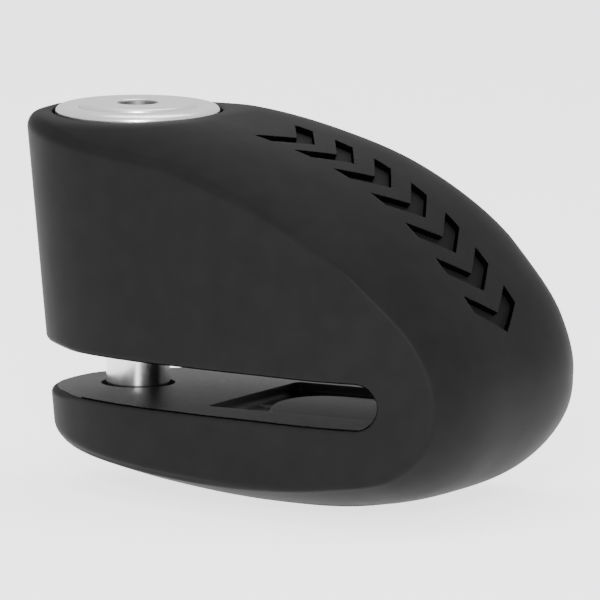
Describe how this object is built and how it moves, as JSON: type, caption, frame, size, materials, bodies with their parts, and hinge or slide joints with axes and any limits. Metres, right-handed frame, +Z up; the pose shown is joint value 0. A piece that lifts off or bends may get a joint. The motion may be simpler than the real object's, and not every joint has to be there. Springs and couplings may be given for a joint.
{
  "type": "disc brake lock",
  "caption": "Push-down disc brake lock for a motorcycle: wedge-shaped body with a disc slot, a steel locking pin under a round silver push button, shown locked.",
  "frame": {"origin": "middle of the underside: centre of the bounding box in X and Y, at its lowest point", "axes": "+X from the pin end to the nose, +Z up along the locking pin, Y across the body; the disc slot is parallel to the XY plane"},
  "size_m": [0.0852, 0.0516, 0.0592],
  "materials": {
    "soft_black": "matte",
    "cast_black": "satin",
    "black_rubber": "matte",
    "polished_steel": "polished",
    "satin_silver": "satin",
    "dark_steel": "satin",
    "brass": "satin"
  },
  "bodies": {
    "housing": {"outer_cover": "soft_black", "core_body": "cast_black", "bottom_plate": "soft_black", "plate_screw_1": "dark_steel", "plate_screw_2": "dark_steel", "plate_screw_3": "dark_steel", "plate_screw_4": "dark_steel", "disc_pad": "black_rubber", "bore_sleeve": "dark_steel", "pin_bush": "dark_steel", "return_spring": "polished_steel", "pin_wiper": "black_rubber", "guide_dowel": "dark_steel"},
    "plunger": {"lock_barrel": "dark_steel", "locking_pin": "polished_steel", "pin_retaining_ring": "dark_steel", "cap_ring": "satin_silver", "cap_grub_screw": "dark_steel", "face_plate": "satin_silver"},
    "key_core": {"key_plug": "brass", "ball_cam": "dark_steel", "detainer_disc_1": "brass", "detainer_disc_2": "brass", "detainer_disc_3": "brass", "detainer_disc_4": "brass", "detainer_disc_5": "brass", "detainer_disc_6": "brass", "side_bar": "dark_steel", "keyhole_shutter": "dark_steel"},
    "ball_front": {"locking_ball_front": "polished_steel"},
    "ball_rear": {"locking_ball_rear": "polished_steel"}
  },
  "joints": [
    {"name": "plunger_lift", "type": "slide", "parent": "housing", "child": "plunger", "axis": [0, 0, 1], "range_m": [0, 0.0113], "deforming": ["return_spring"]},
    {"name": "key_turn", "type": "hinge", "parent": "plunger", "child": "key_core", "pos_m": [-0.02605, 0, 0.04905], "axis": [0, 0, 1], "range_deg": [0, 90]},
    {"name": "front_ball_slide", "type": "slide", "parent": "plunger", "child": "ball_front", "axis": [1, 0, 0], "range_m": [-0.00105, 0]},
    {"name": "rear_ball_slide", "type": "slide", "parent": "plunger", "child": "ball_rear", "axis": [-1, 0, 0], "range_m": [-0.00105, 0]}
  ],
  "couplings": [
    {"joint": "front_ball_slide", "follows": "key_turn", "m_per_rad": -0.00066845},
    {"joint": "rear_ball_slide", "follows": "key_turn", "m_per_rad": -0.00066845}
  ]
}
